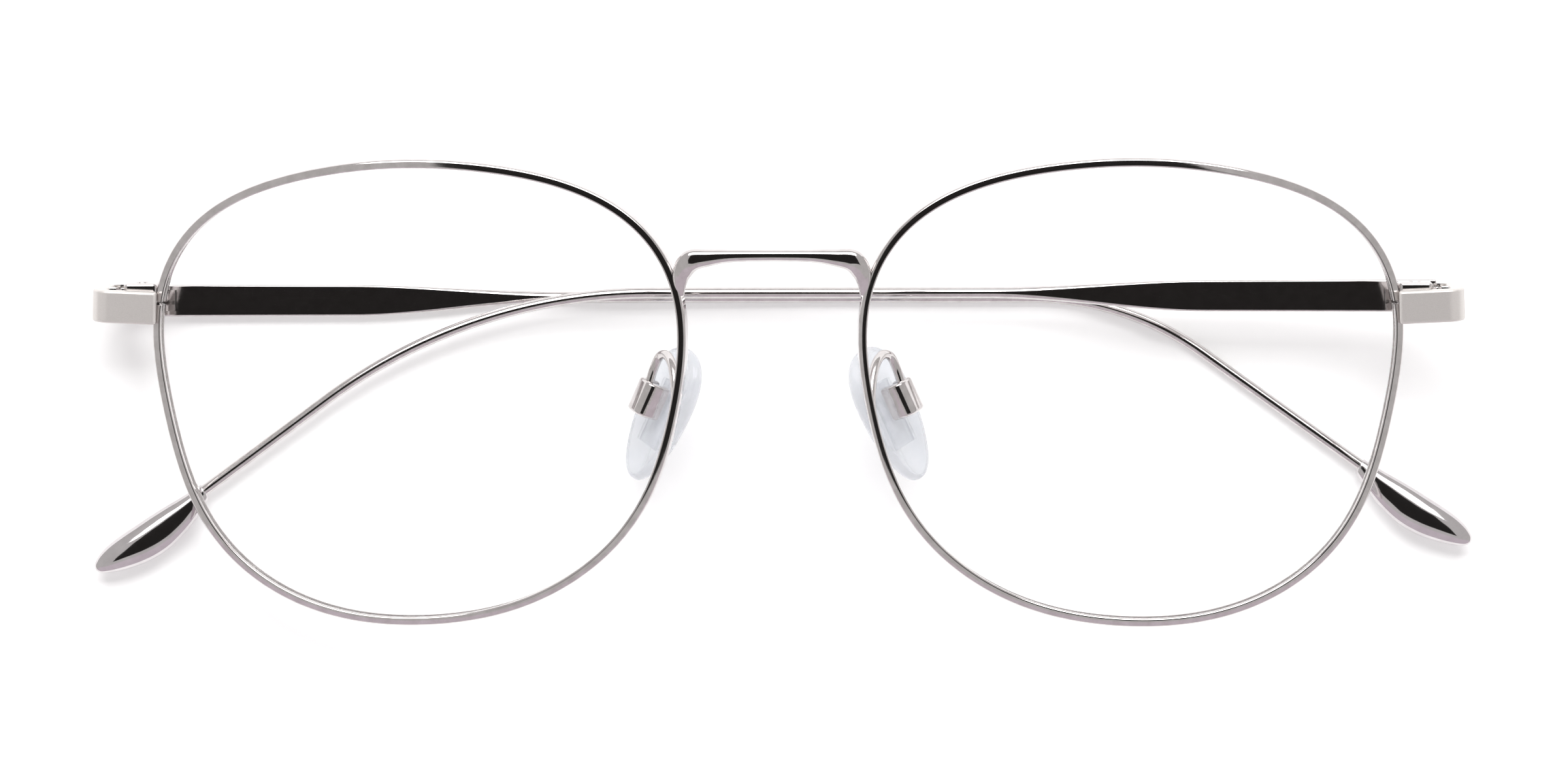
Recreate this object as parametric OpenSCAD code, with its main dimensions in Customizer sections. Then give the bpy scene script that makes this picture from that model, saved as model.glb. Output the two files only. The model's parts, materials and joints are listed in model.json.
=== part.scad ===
// Round wire eyeglasses, folded and lying on their temples with the front facing up.
// Row axes: +X to the wearer's left, +Y up the face, +Z away from the surface they lie on.
// Three working frames are used:
//   lens frame   origin at one lens centre, X to the temple side, Y up, Z forward
//   front frame  origin between the lenses, square to the front
//   fold frame   origin midway between the hinge axes, square to the folded temples

/* [Lenses and rims] */
// Half the distance between the lens centres
lens_half_gap = 36; // [34:0.1:38]
// Radius of the sphere that the front surface of both lenses follows
lens_curve_r = 118; // [90:1:180]
// Angle that each lens turns back towards its temple
face_form = 6; // [0:0.5:9]
// Lens thickness at the edge
lens_thick = 1.4; // [1.1:0.1:1.6]
// Width of the rim wire as seen from the front
rim_wide = 0.9; // [0.8:0.05:1.1]
// Depth of the rim wire from front to back
rim_deep = 1.9; // [1.7:0.1:2.4]
// Outer radii of the rim every 22.5 degrees, from the temple side upwards and round
rim_radii = [28.0, 30.0, 28.2, 25.0, 23.9, 25.0, 27.8, 28.65, 26.6, 25.7, 25.0, 24.2, 24.1, 25.4, 27.0, 27.4];

/* [Bridge] */
// Height of the bridge bar above the lens centres
bridge_y = 14.3; // [13.5:0.1:15.5]
// Thickness of the bar at its middle
bridge_thick = 1.16; // [1:0.05:1.5]

/* [Front, ends and hinges] */
// Tilt of the front against the plane of the folded temples
panto = 8; // [4:0.5:12]
// Overall width across the end pieces
front_w = 140.6; // [138:0.1:144]
// Height of an end piece
end_high = 3.35; // [3:0.05:3.8]
// Height of the end pieces' centre above the lens centres
end_y = 8.6; // [8:0.1:9.4]
// Distance of a hinge axis inside the outer face of its end piece and temple
hinge_in = 2.3; // [2.2:0.05:2.6]
// Outer radius of the hinge knuckles
knuckle_r = 1.05; // [0.95:0.05:1.05]
// Radius of the hinge screw's shank
hinge_screw_r = 0.5; // [0.4:0.05:0.55]
// Radial running clearance in the joints
run_gap = 0.05; // [0.03:0.01:0.08]

/* [Temples] */
// Length of each temple along its centre line, tip included: right, left
temple_len = [147.6, 147.1];
// Height of the flat plate at the hinge
plate_high = 3.35; // [3:0.05:4]
// Thickness of the flat plate
plate_thick = 1.2; // [1:0.05:1.3]
// Diameter of the wire part
wire_d = 1.15; // [1:0.05:1.3]
// Where the bends start, measured from the hinges: right temple, left temple
bend_start = [94.5, 81.2];
// Radius of the bends: right temple, left temple
bend_r = [30.4, 57];
// Angle of the bends: right temple, left temple
bend_angle = [35.5, 36.6];
// Height of each plate's middle above its hinge's middle: right, left
temple_lift = [0, 0.4];
// Length of the metal tips
tip_len = 14; // [12:0.5:18]
// Widest height of the tips
tip_high = 4.0; // [3.4:0.1:5]
// How far the temple ends curve inwards
tip_bow = 1.15; // [1:0.05:1.5]

/* [Nose pads] */
// Height and width of a nose pad
pad_size = [14.8, 8.1];
// Thickness of a nose pad
pad_thick = 2.3; // [2:0.1:2.6]
// Angle of the pads to the front-to-back direction
pad_splay = 38; // [25:1:45]
// Lean of the pads' tops towards the nose
pad_lean = 24; // [10:1:30]
// Diameter of the pad arm wire
pad_wire_d = 0.95; // [0.8:0.05:1.1]

/* [Folded pose] */
// Rise of the front's left side, which lies on the temple that is folded first
roll = 2.5; // [2.5:0.1:4]

/* [Hidden] */
right = 0;
left = 1;

polished = "gainsboro";
brushed = "darkgray";
clear_plastic = "lightcyan";

// position of the hinge axes in the fold frame
hinge_x = front_w / 2 - hinge_in;
hinge_y = 9.85;
// distance from the hinge axes forward to the front frame's origin
front_ahead = 9.2;
// moves the row's origin under the middle of the folded glasses
row_shift = [-0.671, -0.26];

// rim: rings round the lens, half the split that the rim lock closes, and the lens groove
rim_rings = 72;
rim_split = 0.35;
rim_split_angle = 17.3;
groove_high = 0.45;
groove_bottom = -0.1;
lens_edge_gap = 0.04;
lens_rings = [1 / 3, 2 / 3, 0.98];

// end piece: inner end, front face, front plate thickness, outer leg thickness, corner radius
end_inner_x = 63.6;
end_face_z = -4.3;
end_plate = 1.35;
end_leg = 1.6;
// drop of each end piece towards the nose, as an angle about its outer end
end_tilt = 2.5;
end_corner_r = 1.8;
end_back_z = -14;
butt_gap = 0.2;

// rim lock: inner side, outer side, heights of the upper and lower halves, depth, gap between them
lock_x = [63.6, 67.0];
lock_above = 2.15;
lock_below = 1.7;
lock_z = [-8.2, end_face_z - end_plate];
lock_gap = 0.2;
lock_screw_r = 0.45;
lock_head = [0.8, 0.5];

// hinge: half heights of the middle knuckle and of the whole barrel, leaf sizes
middle_half = 0.6;
barrel_half = 1.3;
leaf_thick = 0.75;
leaf_reach = 4;
// leaf brazed to the temple: reach from the axis, height, thickness
temple_leaf = [5.4, 2.2, 0.6];
screw_head = [0.95, 0.3];
slot_size = [0.22, 0.18];

// temple plate: loss of height along it, start and length of its taper to wire, rise of the wire's middle
plate_slope = 0.006;
taper_start = 24;
taper_len = 22;
wire_rise = 0.35;
// distance from the hinge where the inward curve starts
bow_start = 110;

// tip sleeve: drop of its widest part below the wire, bore length and clearance round the wire
tip_sag = 0.73;
tip_bore = 9;
tip_bore_gap = 0.03;

// nose pad assembly: pivot in the front frame, box, tab and screw
pad_pivot = [12.9, -1.3, -6.6];
pad_box_size = [2.6, 3.6, 3.0];
pad_box_x = -0.9;
pad_slot = 1.3;
pad_tab = [1.05, 0.9];
pad_back_x = -1.35;
pad_screw_r = 0.4;
insert_plate = [0.6, 7, 3.4];
insert_depth = 0.7;
// drop of the pad and its plate below the screw
pad_drop = 1.2;
arm_path = [[10, -1.5, -1.25], [9.95, -0.4, -1.3], [10.05, 1.1, -2.0], [10.4, 2.7, -3.2],
    [11.05, 3.5, -4.6], [11.85, 3.2, -5.6], [12.45, 1.95, -5.98], [12.88, 0.66, -5.98]];

// ---------- functions ----------

function mix(a, b, t) = a + (b - a) * t;
function clamp01(t) = min(1, max(0, t));
function smooth(t) = clamp01(t) * clamp01(t) * (3 - 2 * clamp01(t));
function unit(v) = v / norm(v);

// smooth periodic curve through values spaced evenly round a circle
function ripple(x, n) = abs(sin(x / 2)) < 1e-6 ? 1 : sin(n * x / 2) / (n * tan(x / 2));
function rim_radius(a) = let (n = len(rim_radii))
    rim_radii * [for (k = [0:n - 1]) ripple(a - 360 * k / n, n)];
function rim_flat(a) = rim_radius(a) * [cos(a), sin(a)];
function rim_normal(a) = let (t = unit(rim_flat(a + 1) - rim_flat(a - 1))) [t.y, -t.x];

// point of the rim in lens frame coordinates: angle, distance outwards from its middle, depth
function rim_uv(a, out) = rim_flat(a) + (out - rim_wide / 2) * rim_normal(a);
function on_lens(uv, z) = [uv.x, uv.y, sqrt(lens_curve_r * lens_curve_r - uv * uv) - lens_curve_r + z];
function rim_point(a, out, z) = on_lens(rim_uv(a, out), z);

// profile of the rim wire: outwards, forwards
rim_profile = let (w = rim_wide / 2, d = rim_deep / 2)
    [[w * 0.55, d], [w, d * 0.62], [w, -d * 0.62], [w * 0.55, -d], [-w * 0.5, -d], [-w, -d * 0.75],
    [-w, -groove_high], [groove_bottom, 0], [-w, groove_high], [-w, d * 0.75], [-w * 0.5, d]];

// temples: height of the profile at a distance from the hinge
function taper(s) = smooth((s - taper_start) / taper_len);
function temple_high(s) = mix(plate_high - plate_slope * s, wire_d, taper(s));
function temple_thick(s) = mix(plate_thick, wire_d, taper(s));
function temple_rise(k, s) = temple_lift[k] + wire_rise * taper(s);
function temple_bow(k, s) = tip_bow * pow(max(0, s - bow_start) / (temple_len[k] - bow_start), 2);
function temple_square(s) = mix(5, 2, taper(s));
function bend_len(k) = bend_r[k] * bend_angle[k] * PI / 180;
function temple_turn(k, s) = bend_angle[k] * clamp01((s - bend_start[k]) / bend_len(k));
function temple_xy(k, s) = let (a = temple_turn(k, s), rest = max(0, s - bend_start[k] - bend_len(k)))
    [min(s, bend_start[k]) + bend_r[k] * sin(a) + rest * cos(a),
    -bend_r[k] * (1 - cos(a)) - rest * sin(a)];
// superellipse section across a temple or a tip, as points
function section(k, s, up, half_high, half_thick, power, n) = let (a = temple_turn(k, s),
    c = temple_xy(k, s) + [0, temple_rise(k, s)], full = pow(cos(180 / n), 2 / power))
    [for (i = [0:n - 1]) let (t = 360 * (i + 0.5) / n,
        y = up + half_high * sign(sin(t)) * pow(abs(sin(t)), 2 / power) / full,
        w = half_thick * sign(cos(t)) * pow(abs(cos(t)), 2 / power) / full)
        [c.x + y * sin(a), c.y + y * cos(a), w - hinge_in + temple_thick(s) / 2 + temple_bow(k, s)]];

// tips: half height, half thickness and drop of the middle at a distance from the sleeve's mouth
function tip_end(a) = sqrt(max(0.02, 1 - pow(max(0, a / tip_len - 0.6) / 0.4, 2)));
function tip_half(a) = mix(0.85, tip_high / 2, smooth(a / (tip_len * 0.5))) * tip_end(a);
function tip_half_thick(a) = mix(0.8, 1.2, smooth(a / (tip_len * 0.5))) * tip_end(a);
function tip_drop(a) = -tip_sag * (smooth(a / tip_len / 0.42) - smooth((a / tip_len - 0.52) / 0.42));

// smooth curve through hand-placed points
function spline_at(p, i, t) = let (a = p[max(0, i - 1)], b = p[i], c = p[i + 1], d = p[min(len(p) - 1, i + 2)])
    0.5 * (2 * b + (c - a) * t + (2 * a - 5 * b + 4 * c - d) * t * t + (3 * b - a - 3 * c + d) * t * t * t);
function spline(p, steps) = [for (i = [0:len(p) - 2], j = [0:steps - 1]) spline_at(p, i, j / steps), p[len(p) - 1]];

// rings of an elliptical tube along 3-D points: half widths across the view, half depth
function tube_rings(path, wide, deep, n) = [for (i = [0:len(path) - 1])
    let (t = unit(path[min(i + 1, len(path) - 1)] - path[max(i - 1, 0)]),
        side = unit(cross(t, [0, 0, 1])), front = cross(side, t))
    [for (j = [0:n - 1]) path[i] + wide[i] * cos(360 * j / n) * side + deep[i] * sin(360 * j / n) * front]];

// bridge: centre line of one half with its half width and half depth as 4th and 5th numbers
bridge_half = [[0, bridge_y, 0.35, bridge_thick / 2, 0.75], [3.9, bridge_y - 0.05, 0.33, 0.64, 0.78],
    [6.4, bridge_y - 0.25, 0.25, 0.85, 0.85], [8.2, 13.7, 0.1, 1.12, 0.95],
    [9.05, 12.6, -0.1, 0.98, 0.85], [9.3, 11.4, -0.2, 0.7, 0.65], [9.25, 10.2, -0.3, 0.36, 0.45]];
function bridge_path() = let (half = spline(bridge_half, 4), n = len(half))
    concat([for (i = [n - 1:-1:1]) [-half[i][0], half[i][1], half[i][2], half[i][3], half[i][4]]], half);

// ---------- shared shapes ----------

// closed skin over rings of points, with flat ends
module skin(rings) {
    n = len(rings[0]);
    last = len(rings) - 1;
    sides = [for (i = [0:last - 1], j = [0:n - 1], k = [0, 1]) let (a = i * n + j, b = i * n + (j + 1) % n)
        k == 0 ? [a, b, b + n] : [a, b + n, a + n]];
    start = [[for (j = [n - 1:-1:0]) j]];
    end = [[for (j = [0:n - 1]) last * n + j]];
    polyhedron([for (ring = rings, point = ring) point], concat(sides, start, end), convexity = 8);
}

// fold frame to row frame
module placed() {
    translate([row_shift.x, row_shift.y, hinge_in + hinge_x * sin(roll)])
        rotate([0, -roll, 0])
            children();
}

// front frame to row frame
module on_front() {
    placed() translate([0, 0, front_ahead]) rotate([panto, 0, 0]) children();
}

// the left side as drawn, or its mirror image on the right
module sided(side) {
    mirror([side == right ? 1 : 0, 0, 0]) children();
}

// lens frame to row frame
module on_lens_side(side) {
    on_front() sided(side) translate([lens_half_gap, 0, 0]) rotate([0, face_form, 0]) children();
}

// hinge axis frame of the front: origin on the axis, in the fold frame's directions
module at_hinge(side) {
    placed() sided(side) translate([hinge_x, hinge_y, 0]) children();
}

// temple frame: X along the folded temple from its hinge, Z towards the lenses
module at_temple(side) {
    if (side == left) {
        placed() translate([hinge_x, hinge_y, 0]) mirror([1, 0, 0]) children();
    } else {
        placed() translate([-hinge_x, hinge_y, 0]) rotate([0, roll, 0]) children();
    }
}

// pad frame: origin on the pad screw's axis, Y up the pad, Z along the screw, -X to the nose
module at_pad(side) {
    on_front() sided(side) translate(pad_pivot) rotate([0, 0, pad_lean]) rotate([0, -pad_splay, 0]) children();
}

// cylinder standing on y along the Y axis
module upright(r, y, high) {
    translate([0, y, 0]) rotate([-90, 0, 0]) cylinder(r = r, h = high, $fn = 48);
}

// cross slot for a screwdriver, cut into a head whose top is at z = 0
module driver_slot(r) {
    cube([2.4 * r, slot_size.x, 2 * slot_size.y], center = true);
}

// ---------- front ----------

module rim(side) {
    a0 = rim_split_angle + rim_split;
    span = 360 - 2 * rim_split;
    color(polished) on_lens_side(side)
        skin([for (i = [0:rim_rings]) let (a = a0 + span * i / rim_rings)
            [for (p = rim_profile) rim_point(a, p.x, p.y)]]);
}

module lens(side) {
    half = lens_thick / 2;
    bevel = groove_bottom - lens_edge_gap;
    flat = -rim_wide / 2 - lens_edge_gap;
    n = rim_rings;
    // from the middle of the back, round the bevelled edge, to the middle of the front
    back = [for (f = lens_rings) [f, flat, -half]];
    edge = [[1, flat, -groove_high], [1, bevel, 0], [1, flat, groove_high]];
    front = [for (i = [len(lens_rings) - 1:-1:0]) [lens_rings[i], flat, half]];
    rows = concat(back, edge, front);
    rings = [for (row = rows) [for (i = [0:n - 1]) on_lens(row[0] * rim_uv(360 * i / n, row[1]), row[2])]];
    color(clear_plastic, 0.3) on_lens_side(side) skin(rings);
}

module bridge() {
    path = bridge_path();
    centre = [for (p = path) [p[0], p[1], p[2]]];
    color(polished) on_front()
        skin(tube_rings(centre, [for (p = path) p[3]], [for (p = path) p[4]], 12));
}

module endpiece(side) {
    outer_x = front_w / 2;
    color(brushed) difference() {
        on_front() sided(side) translate([outer_x, end_y, 0]) rotate([90, 0, 0]) rotate([0, end_tilt, 0])
            translate([-outer_x, 0, -end_high / 2]) linear_extrude(end_high) {
                translate([end_inner_x, end_face_z - end_plate])
                    square([outer_x - end_corner_r - end_inner_x, end_plate]);
                translate([outer_x - end_leg, end_back_z])
                    square([end_leg, end_face_z - end_corner_r - end_back_z]);
                intersection() {
                    translate([outer_x - end_corner_r, end_face_z - end_corner_r]) circle(r = end_corner_r, $fn = 64);
                    translate([outer_x - end_corner_r, end_face_z - end_corner_r]) square(end_corner_r);
                }
                translate([outer_x - end_corner_r, end_face_z - end_corner_r - 0.5])
                    square([end_corner_r - 0.01, 0.5 + 0.01]);
            }
        // square end that the temple closes against, and room for the knuckles
        at_hinge(side) translate([-5, -10, butt_gap - 20]) cube([10, 20, 20]);
        at_hinge(side) upright(knuckle_r + 0.1, -5, 10);
    }
}

module rim_lock(side, upper) {
    y0 = upper ? end_y + lock_gap / 2 : end_y - lock_below;
    high = (upper ? lock_above : lock_below) - lock_gap / 2;
    color(polished) on_front() sided(side) difference() {
        translate([lock_x[0], y0, lock_z[0]])
            cube([lock_x[1] - lock_x[0], high, lock_z[1] - lock_z[0]]);
        lock_screw_hole();
    }
}

module lock_screw_hole() {
    translate([(lock_x[0] + lock_x[1]) / 2, 0, (lock_z[0] + lock_z[1]) / 2]) {
        upright(lock_screw_r + 0.02, end_y - lock_below - 1, lock_above + lock_below + 2);
        upright(lock_head[0] + run_gap, end_y - lock_below - 1, 1 + lock_head[1]);
    }
}

module rim_screw(side) {
    color(polished) on_front() sided(side)
        translate([(lock_x[0] + lock_x[1]) / 2, end_y - lock_below, (lock_z[0] + lock_z[1]) / 2])
            difference() {
                union() {
                    upright(lock_head[0], 0.05, lock_head[1] - 0.05);
                    upright(lock_screw_r, 0.05, lock_above + lock_below - 0.15);
                }
                translate([0, 0.05, 0]) rotate([90, 0, 0]) driver_slot(lock_head[0]);
            }
}

module hinge_front(side) {
    color(polished) at_hinge(side) difference() {
        union() {
            for (y = [-barrel_half, middle_half + run_gap])
                upright(knuckle_r, y, barrel_half - middle_half - run_gap);
            for (y = [-barrel_half, middle_half + run_gap])
                translate([hinge_in - end_leg - leaf_thick, y, 0])
                    cube([leaf_thick, barrel_half - middle_half - run_gap, knuckle_r + 0.5]);
            translate([hinge_in - end_leg - leaf_thick, -barrel_half, knuckle_r + 0.15])
                cube([leaf_thick, 2 * barrel_half, leaf_reach - knuckle_r - 0.15]);
        }
        upright(hinge_screw_r + 0.01, -5, 10);
    }
}

module hinge_screw(side) {
    color(polished) at_hinge(side) difference() {
        union() {
            upright(hinge_screw_r, -barrel_half + 0.05, 2 * barrel_half);
            upright(screw_head[0], barrel_half + 0.02, screw_head[1]);
        }
        translate([0, barrel_half + 0.02 + screw_head[1], 0]) rotate([90, 0, 0]) driver_slot(screw_head[0]);
    }
}

// ---------- nose pads ----------

module pad_arm(side) {
    path = spline(arm_path, 3);
    half = [for (p = path) pad_wire_d / 2];
    color(polished) on_front() sided(side) skin(tube_rings(path, half, half, 10));
}

module pad_box(side) {
    color(polished) at_pad(side) difference() {
        translate([pad_box_x, -pad_box_size.y / 2, -pad_box_size.z / 2]) cube(pad_box_size);
        translate([pad_box_x - 1, -pad_box_size.y, -pad_slot / 2])
            cube([1 + pad_box_size.x - 0.5, 2 * pad_box_size.y, pad_slot]);
        cylinder(r = pad_screw_r + 0.02, h = 10, center = true, $fn = 48);
        translate([0, 0, pad_box_size.z / 2 - 0.4]) cylinder(r = pad_screw_r + 0.32, h = 1, $fn = 48);
    }
}

module pad_screw(side) {
    top = pad_box_size.z / 2 - 0.05;
    color(polished) at_pad(side) difference() {
        union() {
            translate([0, 0, -pad_box_size.z / 2 + 0.05]) cylinder(r = pad_screw_r, h = 2 * top, $fn = 48);
            translate([0, 0, top - 0.3]) cylinder(r = pad_screw_r + 0.27, h = 0.3, $fn = 48);
        }
        translate([0, 0, top]) driver_slot(pad_screw_r + 0.27);
    }
}

module pad_insert(side) {
    color(clear_plastic, 0.6) at_pad(side) difference() {
        insert_shape(0);
        cylinder(r = pad_screw_r + run_gap, h = 10, center = true, $fn = 48);
    }
}

// plate inside the pad with a tab that reaches the pad screw
module insert_shape(grow) {
    plate = insert_plate + 2 * [grow, grow, grow];
    translate([pad_back_x - insert_depth - insert_plate.x - grow, -pad_drop - plate.y / 2, -plate.z / 2])
        cube(plate);
    translate([pad_back_x - insert_depth - grow, -pad_tab.x - grow, -pad_tab.y / 2 - grow])
        cube([-pad_back_x + insert_depth + grow, 2 * pad_tab.x + 2 * grow, pad_tab.y + 2 * grow]);
    translate([0, 0, -pad_tab.y / 2 - grow]) cylinder(r = pad_tab.x + grow, h = pad_tab.y + 2 * grow, $fn = 48);
}

// oval pad, domed towards the nose and nearly flat at the back
module nose_pad(side) {
    n = 28;
    layers = [[0, 0.72], [0.12, 0.9], [0.35, 1], [0.62, 0.97], [0.85, 0.82], [0.96, 0.6], [1, 0.35]];
    rings = [for (layer = layers) [for (i = [0:n - 1]) let (a = 360 * i / n)
        [pad_back_x - pad_thick * layer[0], layer[1] * pad_size.x / 2 * cos(a) - pad_drop,
            layer[1] * pad_size.y / 2 * sin(a)]]];
    color(clear_plastic, 0.5) at_pad(side) difference() {
        skin([for (i = [len(rings) - 1:-1:0]) rings[i]]);
        insert_shape(0.02);
    }
}

// ---------- temples ----------

module temple_hinge(side) {
    color(polished) at_temple(side) difference() {
        union() {
            upright(knuckle_r, -middle_half, 2 * middle_half);
            translate([0, -middle_half, -knuckle_r]) cube([1.4, 2 * middle_half, temple_leaf[2]]);
            translate([1.3, -temple_leaf[1] / 2, -knuckle_r - 0.04])
                cube([temple_leaf[0] - 1.3, temple_leaf[1], temple_leaf[2]]);
        }
        upright(hinge_screw_r + run_gap, -5, 10);
    }
}

module temple(side) {
    end = temple_len[side] - tip_len + tip_bore - 0.2;
    arc_start = bend_start[side];
    arc = bend_len(side);
    stations = concat([0.05, 0.3, 6, 13, 20], [for (i = [0:8]) taper_start + taper_len * i / 8], [60, 70],
        [for (i = [0:10]) arc_start + arc * i / 10], [for (i = [1:5]) mix(arc_start + arc, end, i / 5)]);
    edge = [for (s = stations) s < 0.1 ? 0.12 : 0];
    color(polished) at_temple(side)
        skin([for (i = [0:len(stations) - 1]) let (s = stations[i])
            section(side, s, 0, temple_high(s) / 2 - edge[i], temple_thick(s) / 2, temple_square(s), 12)]);
}

module tip(side) {
    start = temple_len[side] - tip_len;
    stations = concat([0, 0.25, 1.5], [for (i = [1:6]) tip_len * 0.11 * i + 1], [0.78, 0.86, 0.92, 0.965, 0.99, 1] * tip_len);
    a = temple_turn(side, temple_len[side]);
    mouth = temple_xy(side, start) + [0, temple_rise(side, start)];
    tilt = atan(tip_bow * 2 * (start + tip_bore / 2 - bow_start) / pow(temple_len[side] - bow_start, 2));
    color(polished) at_temple(side) difference() {
        skin([for (s = stations) section(side, start + s, tip_drop(s), max(0.15, tip_half(s) - (s < 0.1 ? 0.1 : 0)),
            max(0.1, tip_half_thick(s)), 2.2, 16)]);
        translate([mouth.x, mouth.y, -hinge_in + temple_thick(start) / 2 + temple_bow(side, start)])
            rotate([0, 0, -a]) rotate([0, 90 - tilt, 0]) translate([0, 0, -1])
                cylinder(r = wire_d / 2 + tip_bore_gap, h = tip_bore + 1, $fn = 48);
    }
}

rim(right);  // rim_right
rim(left);  // rim_left
lens(right);  // lens_right
lens(left);  // lens_left
bridge();
endpiece(right);  // endpiece_right
endpiece(left);  // endpiece_left
rim_lock(right, true);  // rim_lock_upper_right
rim_lock(left, true);  // rim_lock_upper_left
rim_lock(right, false);  // rim_lock_lower_right
rim_lock(left, false);  // rim_lock_lower_left
rim_screw(right);  // rim_screw_right
rim_screw(left);  // rim_screw_left
hinge_front(right);  // hinge_front_right
hinge_front(left);  // hinge_front_left
hinge_screw(right);  // hinge_screw_right
hinge_screw(left);  // hinge_screw_left
temple_hinge(right);  // temple_hinge_right
temple_hinge(left);  // temple_hinge_left
temple(right);  // temple_right
temple(left);  // temple_left
tip(right);  // tip_right
tip(left);  // tip_left
pad_arm(right);  // pad_arm_right
pad_arm(left);  // pad_arm_left
pad_box(right);  // pad_box_right
pad_box(left);  // pad_box_left
pad_screw(right);  // pad_screw_right
pad_screw(left);  // pad_screw_left
pad_insert(right);  // pad_insert_right
pad_insert(left);  // pad_insert_left
nose_pad(right);  // nose_pad_right
nose_pad(left);  // nose_pad_left
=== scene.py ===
"""Round wire eyeglasses: finished pieces, materials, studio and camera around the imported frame.

Lengths are millimetres in the working frames of the CAD source and become metres when a mesh is made:
  lens frame   origin at one lens centre, X to the temple side, Y up, Z forward
  front frame  origin between the lenses, square to the front
  fold frame   origin midway between the hinge axes, square to the folded temples
"""
import json
import math

import bmesh
import bpy
import numpy as np
from mathutils import Matrix, Vector


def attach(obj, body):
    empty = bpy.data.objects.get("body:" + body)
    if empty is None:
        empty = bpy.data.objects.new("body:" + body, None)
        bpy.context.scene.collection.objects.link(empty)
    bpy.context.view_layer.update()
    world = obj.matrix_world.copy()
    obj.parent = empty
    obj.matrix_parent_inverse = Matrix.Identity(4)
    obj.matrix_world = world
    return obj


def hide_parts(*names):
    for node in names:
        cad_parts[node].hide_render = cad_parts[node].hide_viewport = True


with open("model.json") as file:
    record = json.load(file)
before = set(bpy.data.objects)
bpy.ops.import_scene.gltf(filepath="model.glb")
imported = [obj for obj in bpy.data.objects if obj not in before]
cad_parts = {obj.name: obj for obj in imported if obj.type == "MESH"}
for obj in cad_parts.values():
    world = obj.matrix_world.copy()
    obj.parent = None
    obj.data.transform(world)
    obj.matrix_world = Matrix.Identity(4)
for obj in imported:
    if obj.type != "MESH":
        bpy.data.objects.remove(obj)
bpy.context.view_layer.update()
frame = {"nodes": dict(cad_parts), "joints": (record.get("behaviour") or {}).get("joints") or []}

MM = 0.001
SIDES = ("right", "left")
CAD_JOINTS = {joint["name"]: joint for joint in frame["joints"]}

# ---------- driving dimensions, as in the CAD source ----------
LENS_HALF_GAP = 36.0
LENS_CURVE_R = 118.0
FACE_FORM = 6.0
LENS_THICK = 1.4
RIM_WIDE = 0.9
RIM_DEEP = 1.9
RIM_RADII = (28.0, 30.0, 28.2, 25.0, 23.9, 25.0, 27.8, 28.65, 26.6, 25.7, 25.0, 24.2, 24.1, 25.4, 27.0, 27.4)
RIM_SPLIT = 0.35
RIM_SPLIT_ANGLE = 17.3
GROOVE_HIGH = 0.45
GROOVE_BOTTOM = -0.1
LENS_EDGE_GAP = 0.04

BRIDGE_Y = 14.3
BRIDGE_THICK = 1.16

PANTO = 8.0
FRONT_W = 140.6
FRONT_AHEAD = 9.2
END_HIGH = 3.35
END_Y = 8.6
END_INNER_X = 63.6
END_FACE_Z = -4.3
END_PLATE = 1.35
END_LEG = 1.6
END_CORNER_R = 1.8
END_TILT = 2.5
BUTT_GAP = 0.2
HINGE_IN = 2.3
HINGE_X = FRONT_W / 2 - HINGE_IN
HINGE_Y = 9.85
KNUCKLE_R = 1.05
KNUCKLE_ROOM = 0.1

TEMPLE_LEN = {"right": 147.6, "left": 147.1}
PLATE_HIGH = 3.35
PLATE_THICK = 1.2
WIRE_D = 1.15
BEND_START = {"right": 94.5, "left": 81.2}
BEND_R = {"right": 30.4, "left": 57.0}
BEND_ANGLE = {"right": 35.5, "left": 36.6}
TEMPLE_LIFT = {"right": 0.0, "left": 0.4}
TIP_LEN = 14.0
TIP_BOW = 1.15
WIRE_RISE = 0.35
ROLL = 2.5

PAD_SIZE = (14.8, 7.9)
PAD_THICK = 2.3
PAD_SPLAY = 38.0
PAD_LEAN = 24.0
PAD_DROP = 1.2
PAD_WIRE_D = 0.95
PAD_PIVOT = (12.9, -1.3, -6.6)
PAD_BOX_X = -0.9
PAD_BOX_SIZE = (2.6, 3.6, 3.0)
PAD_SLOT = 1.3
PAD_BACK_X = -1.35
ARM_PATH = ((10.0, -1.5, -1.25), (9.95, -0.4, -1.3), (10.05, 1.1, -2.0), (10.4, 2.7, -3.2),
            (11.05, 3.5, -4.6), (11.85, 3.2, -5.6), (12.45, 1.95, -5.98), (12.88, 0.66, -5.98))


# ---------- working frames ----------

def turn(degrees, axis):
    return Matrix.Rotation(math.radians(degrees), 4, axis)


def shift(x, y, z):
    return Matrix.Translation((x, y, z))


MIRROR = Matrix.Diagonal((-1, 1, 1, 1))
AS_DRAWN = {"left": Matrix.Identity(4), "right": MIRROR}


def fold_frame():
    """Fold frame in millimetres to row frame in metres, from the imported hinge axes."""
    right = Vector(CAD_JOINTS["right_temple_hinge"]["pos_m"])
    left = Vector(CAD_JOINTS["left_temple_hinge"]["pos_m"])
    across = (left - right).normalized()
    up = Vector((0, 1, 0))
    ahead = across.cross(up)
    origin = (left + right) / 2 - up * HINGE_Y * MM
    axes = Matrix((across, up, ahead)).transposed() * MM
    return Matrix.Translation(origin) @ axes.to_4x4()


FOLD = fold_frame()
FRONT = FOLD @ shift(0, 0, FRONT_AHEAD) @ turn(PANTO, "X")


def front_side(side):
    return FRONT @ AS_DRAWN[side]


def lens_frame(side):
    return front_side(side) @ shift(LENS_HALF_GAP, 0, 0) @ turn(FACE_FORM, "Y")


def pad_frame(side):
    """Y up the pad, Z along its screw, -X to the nose."""
    return front_side(side) @ shift(*PAD_PIVOT) @ turn(PAD_LEAN, "Z") @ turn(-PAD_SPLAY, "Y")


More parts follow.
